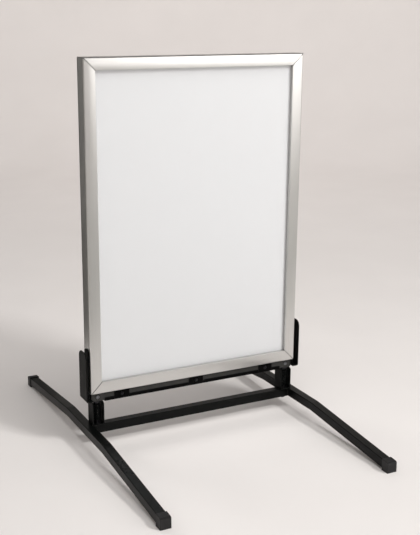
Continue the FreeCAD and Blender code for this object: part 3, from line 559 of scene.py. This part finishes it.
def clear_film(name):
    graph = finish(name)
    ripple = noise(graph, RIPPLE_SCALE, detail=1.0)
    tooth = noise(graph, TOOTH_SCALE, detail=2.0)
    graph.surface(
        base_color=FILM_TINT,
        roughness=FILM_ROUGHNESS + sway(tooth, TOOTH_SWAY),
        alpha=FILM_VEIL + TOOTH_VEIL * tooth,
        normal=relief(graph, ripple, RIPPLE_DEPTH),
    )
    return graph.owner


cover_film = clear_film("cover_film")
print("made", cover_film.name)

# %% [markdown]
# ## Which piece gets which finish
#
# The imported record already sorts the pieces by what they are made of, and the names of the
# pieces say the rest: only the rails need two finishes, one for each direction of the grain.
# So a list of endings is enough, and a piece that fits none of them gets the black paint.

# %% Dress the CAD pieces
FINISHES = [
    ("_poster", poster_paper),
    ("_cover", cover_film),
    ("_backing", backing_board),
    ("_snap_clips", spring_steel),
    ("frame_bar", bar_paint),
    ("_post", post_paint),
    ("_bracket", post_paint),
    ("_cap", cap_plastic),
    ("_clamp", clamp_and_shade_strip_plastic),
    # The strips are near black: painted shade along the lower edge of the bar.
    ("_strip", clamp_and_shade_strip_plastic),
    ("_plug", black_zinc),
    ("_bolts", black_zinc),
    ("_screws", black_zinc),
    ("_rivets", black_zinc),
    ("rail_top", level_metal),
    ("rail_bottom", level_metal),
    ("rail_left", upright_metal),
    ("rail_right", upright_metal),
    ("_key", upright_metal),
]


def finish_for(name):
    for ending, material in FINISHES:
        if name.endswith(ending):
            return material
    return paint


counts = {}
for name, piece in nodes.items():
    material = finish_for(name)
    if not piece.material_slots:
        piece.data.materials.append(material)
    for slot in piece.material_slots:
        slot.material = material
    counts[material.name] = counts.get(material.name, 0) + 1
print("pieces to a finish:", counts)

# %% [markdown]
# ## Clear covers
#
# The CAD cover lies flat against the poster, and two faces in one place flicker when one of them
# is clear. A real film also never lies quite flat: it is held at its edges and bows a little
# between them. So each cover becomes a thin sheet of its own, on a grid fine enough to bow,
# inside the space of the CAD sheet. A few sine waves, all still at the edges, give the bow.

# %% How a film bows
FILM_WAVES_ACROSS = 7.0
FILM_WAVES_UP = 5.0
FILM_WANDER = 4.0
FILM_WANDER_UP = 3.0
HALF_WAY = 0.5


def film_height(across, up):
    """How far the film bows at a place given as shares of its width and height, from 0 to 1."""
    edge = math.sin(math.pi * across) * math.sin(math.pi * up)
    wander = FILM_WANDER * math.sin(FILM_WANDER_UP * up)
    wave = math.sin(FILM_WAVES_ACROSS * across + wander) * math.cos(FILM_WAVES_UP * up)
    return edge * (1.0 + wave) / 2


print(f"bow in the middle: {film_height(HALF_WAY, HALF_WAY):.2f} of the room there is")

# %% Make the covers
FILM_THICKNESS = 0.0003
FILM_CELLS_ACROSS = 24
FILM_CELLS_UP = 34
FILM_LIFT = 0.00008


def film_rim():
    """The places round the edge of the grid, in order."""
    rim = [(i, 0) for i in range(FILM_CELLS_ACROSS)]
    rim += [(FILM_CELLS_ACROSS, j) for j in range(FILM_CELLS_UP)]
    rim += [(i, FILM_CELLS_UP) for i in range(FILM_CELLS_ACROSS, 0, -1)]
    rim += [(0, j) for j in range(FILM_CELLS_UP, 0, -1)]
    return rim


def film_mesh(name, low, high, way):
    """A closed thin sheet in a box; way is -1 at the front of the sign and 1 at its rear."""
    back = (high.y if way < 0 else low.y) + way * FILM_LIFT
    room = high.y - low.y - FILM_THICKNESS - 2 * FILM_LIFT
    body = bmesh.new()
    grid = {}
    for skin in (0, 1):
        for i in range(FILM_CELLS_ACROSS + 1):
            for j in range(FILM_CELLS_UP + 1):
                across = i / FILM_CELLS_ACROSS
                up = j / FILM_CELLS_UP
                x = low.x + across * (high.x - low.x)
                y = back + way * (room * film_height(across, up) + skin * FILM_THICKNESS)
                z = low.z + up * (high.z - low.z)
                grid[skin, i, j] = body.verts.new((x, y, z))
    for skin in (0, 1):
        for i in range(FILM_CELLS_ACROSS):
            for j in range(FILM_CELLS_UP):
                cell = [(i, j), (i + 1, j), (i + 1, j + 1), (i, j + 1)]
                body.faces.new([grid[skin, *place] for place in cell])
    rim = film_rim()
    for here, there in zip(rim, rim[1:] + rim[:1]):
        body.faces.new([grid[0, *here], grid[0, *there], grid[1, *there], grid[1, *here]])
    bmesh.ops.recalc_face_normals(body, faces=body.faces)
    mesh = bpy.data.meshes.new(name)
    body.to_mesh(mesh)
    body.free()
    mesh.materials.append(cover_film)
    return mesh


for side, way in (("front", -1), ("rear", 1)):
    film = put(f"{side}_film", film_mesh(f"{side}_film", *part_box(f"{side}_cover"), way))
    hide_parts(f"{side}_cover")
    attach(film, "sign")
    print(film.name, len(film.data.polygons), "faces")

# %% [markdown]
# ## The springs
#
# Two close-wound coils carry the sign and let it lean in the wind. Blender has a Screw modifier
# that can wind a circle into a coil, but the ends of these coils turn upright on to their seats,
# and a modifier cannot do that. So we work out the line of the wire: a straight end, a bend,
# nine turns, a bend and a straight end. The coil takes its size from the CAD solid that it
# stands for.

# %% The line of the wire
WIRE = 0.004
TURNS = 9
TANG_BEND = 0.0042
BEND_HANDLE = 0.55
BEND_STEPS = 9
STEPS_PER_TURN = 40
UP = Vector((0.0, 0.0, 1.0))


def coil_line(low, high):
    """Points along the wire of a coil that fills the box from low to high."""
    axis = (low + high) / 2
    radius = (high.y - low.y - WIRE) / 2
    rise = high.z - low.z - 2 * (WIRE + TANG_BEND)
    slope = math.atan2(rise / TURNS, 2 * math.pi * radius)
    foot = low.z + WIRE + TANG_BEND

    def spot(turn):
        angle = 2 * math.pi * turn
        ring = Vector((math.sin(angle), -math.cos(angle), 0.0)) * radius
        return Vector((axis.x, axis.y, foot + rise * turn / TURNS)) + ring

    def way(turn):
        angle = 2 * math.pi * turn
        flat = Vector((math.cos(angle), math.sin(angle), 0.0))
        return flat * math.cos(slope) + UP * math.sin(slope)

    def bend(turn, side):
        """The tang below (side -1) or above (side 1) the coil, from the seat to the coil."""
        flat = Vector((way(turn).x, way(turn).y, 0.0)).normalized()
        corner = spot(turn) + side * TANG_BEND * (flat * (1 - math.sin(slope)) + UP)
        reach = side * TANG_BEND * BEND_HANDLE
        upright = corner - reach * UP
        along = spot(turn) + reach * way(turn)
        line = geometry.interpolate_bezier(corner, upright, along, spot(turn), BEND_STEPS)
        return [corner + side * WIRE * UP, corner + side * WIRE / 2 * UP] + line

    steps = TURNS * STEPS_PER_TURN
    coil = [spot(TURNS * step / steps) for step in range(1, steps)]
    return bend(0, -1) + coil + bend(TURNS, 1)[::-1]


spring_line = coil_line(*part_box("left_spring"))
wire_length = sum((there - here).length for here, there in zip(spring_line, spring_line[1:]))
print(f"each spring takes {wire_length:.2f} m of wire")

# %% [markdown]
# ## From line to wire
#
# A curve with a round bevel turns the line into wire, and its mesh becomes the piece.

# %% Wind the springs
WIRE_ROUNDNESS = 5


def wire_mesh(name, line):
    curve = bpy.data.curves.new(name, "CURVE")
    curve.dimensions = "3D"
    curve.bevel_depth = WIRE / 2
    curve.bevel_resolution = WIRE_ROUNDNESS
    curve.use_fill_caps = True
    spline = curve.splines.new("POLY")
    spline.points.add(len(line) - 1)
    for point, spot in zip(spline.points, line):
        point.co = (*spot, 1.0)
    drawn = put(name, curve)
    bpy.context.view_layer.update()
    depsgraph = bpy.context.evaluated_depsgraph_get()
    mesh = bpy.data.meshes.new_from_object(drawn.evaluated_get(depsgraph))
    bpy.data.objects.remove(drawn)
    mesh.materials.clear()
    mesh.materials.append(lacquer)
    mesh.shade_smooth()
    return mesh


for side in ("left", "right"):
    low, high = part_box(f"{side}_spring")
    coil = put(f"{side}_coil", wire_mesh(f"{side}_coil", coil_line(low, high)))
    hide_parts(f"{side}_spring")
    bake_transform(coil)
    print(coil.name, len(coil.data.polygons), "faces")

# %% [markdown]
# ## Screws with sockets
#
# Five screws go through the bar: three hold the clamps and two hold the plugs of the springs. In
# CAD each is a dome, a shank and a plain nut. Seen close up, a real one has a hexagon socket in
# its head, and the corners of its nut are turned off. Blender can cut a socket with a Boolean, but
# a lathe is simpler: we stack rings along the axis and join them. A ring is a circle, a hexagon,
# or a circle with six flats, and that is all that a screw and its nut are made of.

# %% Rings of a screw
HEAD_RADIUS = 0.0054
HEAD_HIGH = 0.0040
HEAD_FLAT = 0.0033
SOCKET_RIM = 0.0025
SOCKET_FLATS = 0.0040
SOCKET_FLOOR = 0.0012
SHANK_RADIUS = 0.0030
NUT_HIGH = 0.0050
NUT_FLATS = 0.0099
NUT_CORNER = 0.0052
THREAD_END = 0.0025
BEVEL = 0.0004
DOME_STEPS = 7
SPOKES = 36
FLAT_ANGLE = math.pi / 3
WIDE = 1.0


def ring_spots(seat, out, circle, flats):
    """A circle cut by a hexagon, at a distance in front of the seat."""
    spots = []
    for spoke in range(SPOKES):
        angle = 2 * math.pi * spoke / SPOKES
        off_flat = math.fmod(angle, FLAT_ANGLE) - FLAT_ANGLE / 2
        radius = min(circle, flats / 2 / math.cos(off_flat))
        x = seat.x + radius * math.cos(angle)
        z = seat.z + radius * math.sin(angle)
        spots.append((x, seat.y - out, z))
    return spots


def dome_radius(out):
    ball = (HEAD_RADIUS ** 2 + HEAD_HIGH ** 2) / (2 * HEAD_HIGH)
    return math.sqrt(ball ** 2 - (out + ball - HEAD_HIGH) ** 2)


def screw_rings(grip):
    """From the end of the thread, over the nut and the shank, to the floor of the socket.

    A ring is its distance out, the radius of its circle and the width over its flats. WIDE is so
    large that the circle or the flats don't cut anything.
    """
    end = -grip - NUT_HIGH
    rings = [(end + BEVEL / 2, THREAD_END, WIDE), (end + BEVEL, SHANK_RADIUS, WIDE)]
    rings += [(end, SHANK_RADIUS + BEVEL, WIDE), (end, NUT_CORNER, NUT_FLATS)]
    rings += [(end + BEVEL, WIDE, NUT_FLATS), (-grip - BEVEL, WIDE, NUT_FLATS)]
    rings += [(-grip, NUT_CORNER, NUT_FLATS), (-grip, SHANK_RADIUS, WIDE)]
    rings += [(0.0, SHANK_RADIUS, WIDE)]
    for step in range(DOME_STEPS + 1):
        out = HEAD_FLAT * step / DOME_STEPS
        rings.append((out, dome_radius(out), WIDE))
    rings += [(HEAD_FLAT, SOCKET_RIM, WIDE), (HEAD_FLAT - BEVEL, WIDE, SOCKET_FLATS)]
    rings += [(SOCKET_FLOOR, WIDE, SOCKET_FLATS), (SOCKET_FLOOR - BEVEL, BEVEL, WIDE)]
    return rings


print(len(screw_rings(grip=0.0)), "rings to a screw")

# %% [markdown]
# ## Joining rings
#
# Two helpers turn rings into a piece. The first closes the first ring with a face, joins each
# ring to the next with four-sided faces, and closes the last one. The second makes the mesh
# smooth but keeps its sharp edges, so that a dome looks round and a nut keeps its flats.

# %% Put the screws in
SHARP_ANGLE = math.radians(30.0)


def join_rings(body, rings):
    last = None
    for ring in rings:
        here = [body.verts.new(spot) for spot in ring]
        if last is None:
            body.faces.new(here)
        else:
            for spot in range(len(here)):
                after = (spot + 1) % len(here)
                body.faces.new([last[spot], last[after], here[after], here[spot]])
        last = here
    body.faces.new(last)


def smooth_piece(name, body, material):
    """Turns a bmesh into an object, with its faces outwards and its sharp edges kept."""
    bmesh.ops.recalc_face_normals(body, faces=body.faces)
    mesh = bpy.data.meshes.new(name)
    body.to_mesh(mesh)
    body.free()
    mesh.materials.append(material)
    mesh.shade_smooth()
    mesh.set_sharp_from_angle(angle=SHARP_ANGLE)
    return put(name, mesh)


def screw_set(name, node, carriers, material):
    """Screws in place of a node, one through the middle of each carrier."""
    low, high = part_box(node)
    grip = high.y - low.y - HEAD_HIGH - NUT_HIGH
    body = bmesh.new()
    for carrier in carriers:
        left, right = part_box(carrier)
        seat = Vector(((left.x + right.x) / 2, low.y + HEAD_HIGH, (low.z + high.z) / 2))
        join_rings(body, [ring_spots(seat, *ring) for ring in screw_rings(grip)])
    piece = smooth_piece(name, body, material)
    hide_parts(node)
    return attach(piece, "sign")


clamps = ["left_clamp", "middle_clamp", "right_clamp"]
springs = ["left_spring", "right_spring"]
clamp_set = screw_set("clamp_screw_set", "clamp_screws", clamps, black_zinc)
cross_set = screw_set("cross_bolt_set", "cross_bolts", springs, bright_zinc)
print(clamp_set.name, len(clamp_set.data.polygons), "faces")
print(cross_set.name, len(cross_set.data.polygons), "faces")

# %% [markdown]
# ## Weld beads
#
# The ends of the crossbar are welded to the legs. A weld is a row of small frozen puddles, each
# lapping over the one before. We run a quarter-round section up the corner between the two tubes
# and let its size follow a saw-tooth, one tooth to each puddle. Paint covers it like the rest.

# %% The section of a bead
BEAD_REACH = 0.0042
BEAD_SWELL = 0.22
BEAD_SINK = 0.0005
BEAD_PUDDLES = 8
BEAD_ARC = 7
BEAD_TAPER = 0.08
BEAD_TIP = 0.35


def bead_size(share):
    """Reach of the bead at a share of its height: a row of puddles, with its ends run out."""
    puddle = math.fmod(share * BEAD_PUDDLES, 1.0)
    lap = math.sqrt(1.0 - (1.0 - puddle) ** 2)
    ends = min(1.0, share / BEAD_TAPER, (1.0 - share) / BEAD_TAPER)
    swell = 1.0 - BEAD_SWELL + BEAD_SWELL * lap
    return BEAD_REACH * swell * (BEAD_TIP + (1.0 - BEAD_TIP) * max(ends, 0.0))


def bead_section(corner, away_x, away_y, reach):
    """A quarter round in a corner; away_x and away_y point out of it along the two tubes."""
    spots = [(corner.x - away_x * BEAD_SINK, corner.y - away_y * BEAD_SINK, corner.z)]
    for turn in range(BEAD_ARC):
        angle = math.pi / 2 * turn / (BEAD_ARC - 1)
        x = corner.x + away_x * (reach * math.cos(angle) - BEAD_SINK * math.sin(angle))
        y = corner.y + away_y * (reach * math.sin(angle) - BEAD_SINK * math.cos(angle))
        spots.append((x, y, corner.z))
    return spots


print(f"bead {bead_size(HALF_WAY):.4f} m wide half way up")

# %% Lay the beads
BEAD_STEPS = 64
BEAD_CLEAR = 0.0035

bar_low, bar_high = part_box("crossbar")
bead_foot = bar_low.z + BEAD_CLEAR
bead_rise = bar_high.z - BEAD_CLEAR - bead_foot
beads = bmesh.new()
for end, away_x in ((bar_low.x, 1), (bar_high.x, -1)):
    for side, away_y in ((bar_low.y, -1), (bar_high.y, 1)):
        sections = []
        for step in range(BEAD_STEPS + 1):
            share = step / BEAD_STEPS
            corner = Vector((end, side, bead_foot + share * bead_rise))
            sections.append(bead_section(corner, away_x, away_y, bead_size(share)))
        join_rings(beads, sections)
weld_beads = smooth_piece("weld_beads", beads, paint)
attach(weld_beads, "base")
print(weld_beads.name, len(weld_beads.data.polygons), "faces")

# %% [markdown]
# ## Floor and backdrop
#
# The photograph was taken on pale paper that runs up the wall in one sweep, so there is no
# horizon. We want the same from every side, so the sweep is turned into a bowl: one profile,
# flat, then a quarter circle, then upright, spun round the sign. The paper is warm, and a slow
# mottle keeps it from looking like a computer's white.

# %% Profile and paper
FLOOR_RADIUS = 4.4
SWEEP_RADIUS = 1.6
SWEEP_STEPS = 20
WALL_TOP = 4.5
MOTTLE_SCALE = 3.0
MOTTLE_SWAY = 0.1
SWEEP_ROUGHNESS = 0.85
SWEEP_LOW = (0.76, 0.735, 0.72, 1.0)
SWEEP_HIGH = (0.81, 0.785, 0.77, 1.0)


def bowl_profile():
    """Points of the bowl's section, as (distance from the middle, height)."""
    line = [(0.0, 0.0)]
    for step in range(SWEEP_STEPS + 1):
        angle = math.pi / 2 * step / SWEEP_STEPS
        out = FLOOR_RADIUS + SWEEP_RADIUS * math.sin(angle)
        line.append((out, SWEEP_RADIUS * (1 - math.cos(angle))))
    line.append((FLOOR_RADIUS + SWEEP_RADIUS, WALL_TOP))
    return line


def sweep_paper():
    graph = finish("sweep_paper")
    mottle = noise(graph, MOTTLE_SCALE, detail=4.0)
    graph.surface(
        base_color=graph.mix(mottle, SWEEP_LOW, SWEEP_HIGH),
        roughness=SWEEP_ROUGHNESS + sway(mottle, MOTTLE_SWAY),
    )
    return graph.owner


print("profile of", len(bowl_profile()), "points")

# %% Spin the bowl
BOWL_STEPS = 96
MERGE_WITHIN = 0.0001
FULL_TURN = 2 * math.pi
ORIGIN = Vector((0.0, 0.0, 0.0))

turning = bmesh.new()
spots = [turning.verts.new((out, 0.0, up)) for out, up in bowl_profile()]
lines = [turning.edges.new(pair) for pair in zip(spots, spots[1:])]
bmesh.ops.spin(
    turning, geom=spots + lines, axis=UP, cent=ORIGIN, angle=FULL_TURN, steps=BOWL_STEPS
)
bmesh.ops.remove_doubles(turning, verts=turning.verts, dist=MERGE_WITHIN)
bmesh.ops.recalc_face_normals(turning, faces=turning.faces)
bowl_mesh = bpy.data.meshes.new("studio_bowl")
turning.to_mesh(bowl_mesh)
turning.free()
bowl_mesh.materials.append(sweep_paper())
bowl_mesh.shade_smooth()
put("studio_bowl", bowl_mesh)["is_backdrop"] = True
print("bowl of", len(bowl_mesh.polygons), "faces")

# %% [markdown]
# ## Soft light
#
# Shadows tell where the lights stood. Each leg throws a soft shadow to the left and the crossbar
# throws one backwards, nearly as far as the tube is high. So the key light stands in front and to
# the right, some forty-five degrees up, and far enough away to light the poster evenly. A weaker
# one overhead fills the shadows, and one behind the sign, out of the picture, lights the backdrop.
# The rails are brightest at the upper right corner, which mirrors a low panel in front. A faint
# light from the rear, narrowed by a grid, keeps the back of the sign from going dark.
# A light can be hidden from reflections. All but the low panel are, because the rounded edges of
# the frame mirror nothing else that is bright in the photograph.

# %% Lights
WARM_WHITE = (1.0, 0.985, 0.97)
ROSE_WHITE = (1.0, 0.95, 0.925)


def softbox(name, place, aim, size, power, colour=WARM_WHITE, spread=180.0, mirrored=False):
    lamp = bpy.data.lights.new(name, "AREA")
    lamp.shape = "RECTANGLE"
    lamp.size, lamp.size_y = size
    lamp.energy = power
    lamp.color = colour
    lamp.spread = math.radians(spread)
    box = put(name, lamp)
    box.location = place
    box.rotation_mode = "QUATERNION"
    box.rotation_quaternion = (Vector(aim) - Vector(place)).to_track_quat("-Z", "Y")
    box.visible_glossy = mirrored
    box.visible_camera = False


softbox(
    "backdrop_light",
    place=(1.5, 2.2, 4.2),
    aim=(3.2, 6.0, 1.5),
    size=(3.0, 1.0),
    power=80.0,
    colour=ROSE_WHITE,
)
softbox(
    "overhead_light",
    place=(-0.2, -1.4, 4.2),
    aim=(-0.2, 0.2, 0.0),
    size=(2.0, 2.0),
    power=69.0,
)
softbox(
    "key_light",
    place=(2.1, -3.55, 4.0),
    aim=(0.0, 0.0, 0.2),
    size=(0.9, 0.9),
    power=145.0,
)
softbox(
    "front_light",
    place=(1.9, -2.86, 1.43),
    aim=(0.0, 0.0, 0.6),
    size=(2.1, 1.5),
    power=27.5,
    mirrored=True,
)
softbox(
    "rear_light",
    place=(-1.8, 4.2, 2.6),
    aim=(0.0, 0.0, 0.7),
    size=(1.6, 1.6),
    power=4.5,
    spread=50.0,
)
print("five softboxes")

# %% [markdown]
# ## Dark cards
#
# Metal shows its surroundings. In the photograph the left edge and the top of the frame are dark
# and the middle of the rails is grey, so the studio was dark on the left, behind the backdrop and
# beyond the floor paper. Photographers hang up black cards for this. Ours are switched off for
# everything except reflections, so they throw no shadow and stay out of the picture, and each has
# its own grey rather than black.

# %% Cards
CARD_WARMTH = 0.96
CARD_MOTTLE = 0.12
CARD_ROUGHNESS = 0.9


def card_paper(name, grey):
    tone = Vector((grey, grey, CARD_WARMTH * grey))
    low = (*((1.0 - CARD_MOTTLE) * tone), 1.0)
    high = (*((1.0 + CARD_MOTTLE) * tone), 1.0)
    return paper(name, low, high, CARD_ROUGHNESS)


def dark_card(name, grey, foot, size, turn=0.0, tilt=0.0):
    """A card on its foot, the middle of its lower edge; tilted about that, then turned about Z."""
    width, height = size
    half = width / 2
    mesh = bpy.data.meshes.new(name)
    corners = [(-half, 0, 0), (half, 0, 0), (half, 0, height), (-half, 0, height)]
    mesh.from_pydata(corners, [], [tuple(range(len(corners)))])
    mesh.materials.append(card_paper(f"{name}_paper", grey))
    card = put(name, mesh)
    spin = turned(math.radians(turn), "Z")
    lean = turned(math.radians(tilt), "X")
    card.matrix_world = Matrix.Translation(foot) @ spin @ lean
    card.visible_camera = False
    card.visible_diffuse = False
    card.visible_shadow = False
    card.visible_transmission = False
    card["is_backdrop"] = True


dark_card("left_card", grey=0.18, foot=(-0.75, 0.75, 0.0), size=(1.4, 1.4), turn=20.0)
dark_card("rear_card", grey=0.20, foot=(1.0, 3.4, 0.6), size=(9.0, 1.0))
dark_card("floor_card", grey=0.35, foot=(1.2, -0.85, 0.02), size=(5.0, 3.4), tilt=90.0)
print("three cards")

# %% [markdown]
# ## The air of the studio
#
# A real studio is never quite dark between the lights, because its walls throw some light back.
# A dim and slightly warm world stands for that. The Standard view keeps the tones as they are
# lit; Blender's usual one would turn the white of the poster grey.

# %% World
AIR_TINT = (1.0, 0.975, 0.955, 1.0)
AIR_STRENGTH = 0.16

world = bpy.data.worlds.new("studio_air")
bpy.context.scene.world = world
air = Graph(world)
background = air.tree.nodes["Background"]
air.feed(background.inputs["Color"], AIR_TINT)
air.feed(background.inputs["Strength"], AIR_STRENGTH)
bpy.context.scene.view_settings.view_transform = "Standard"
print("world of strength", AIR_STRENGTH)

# %% Finish
low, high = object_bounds()
print("visual box in metres:", box_text(low, high))
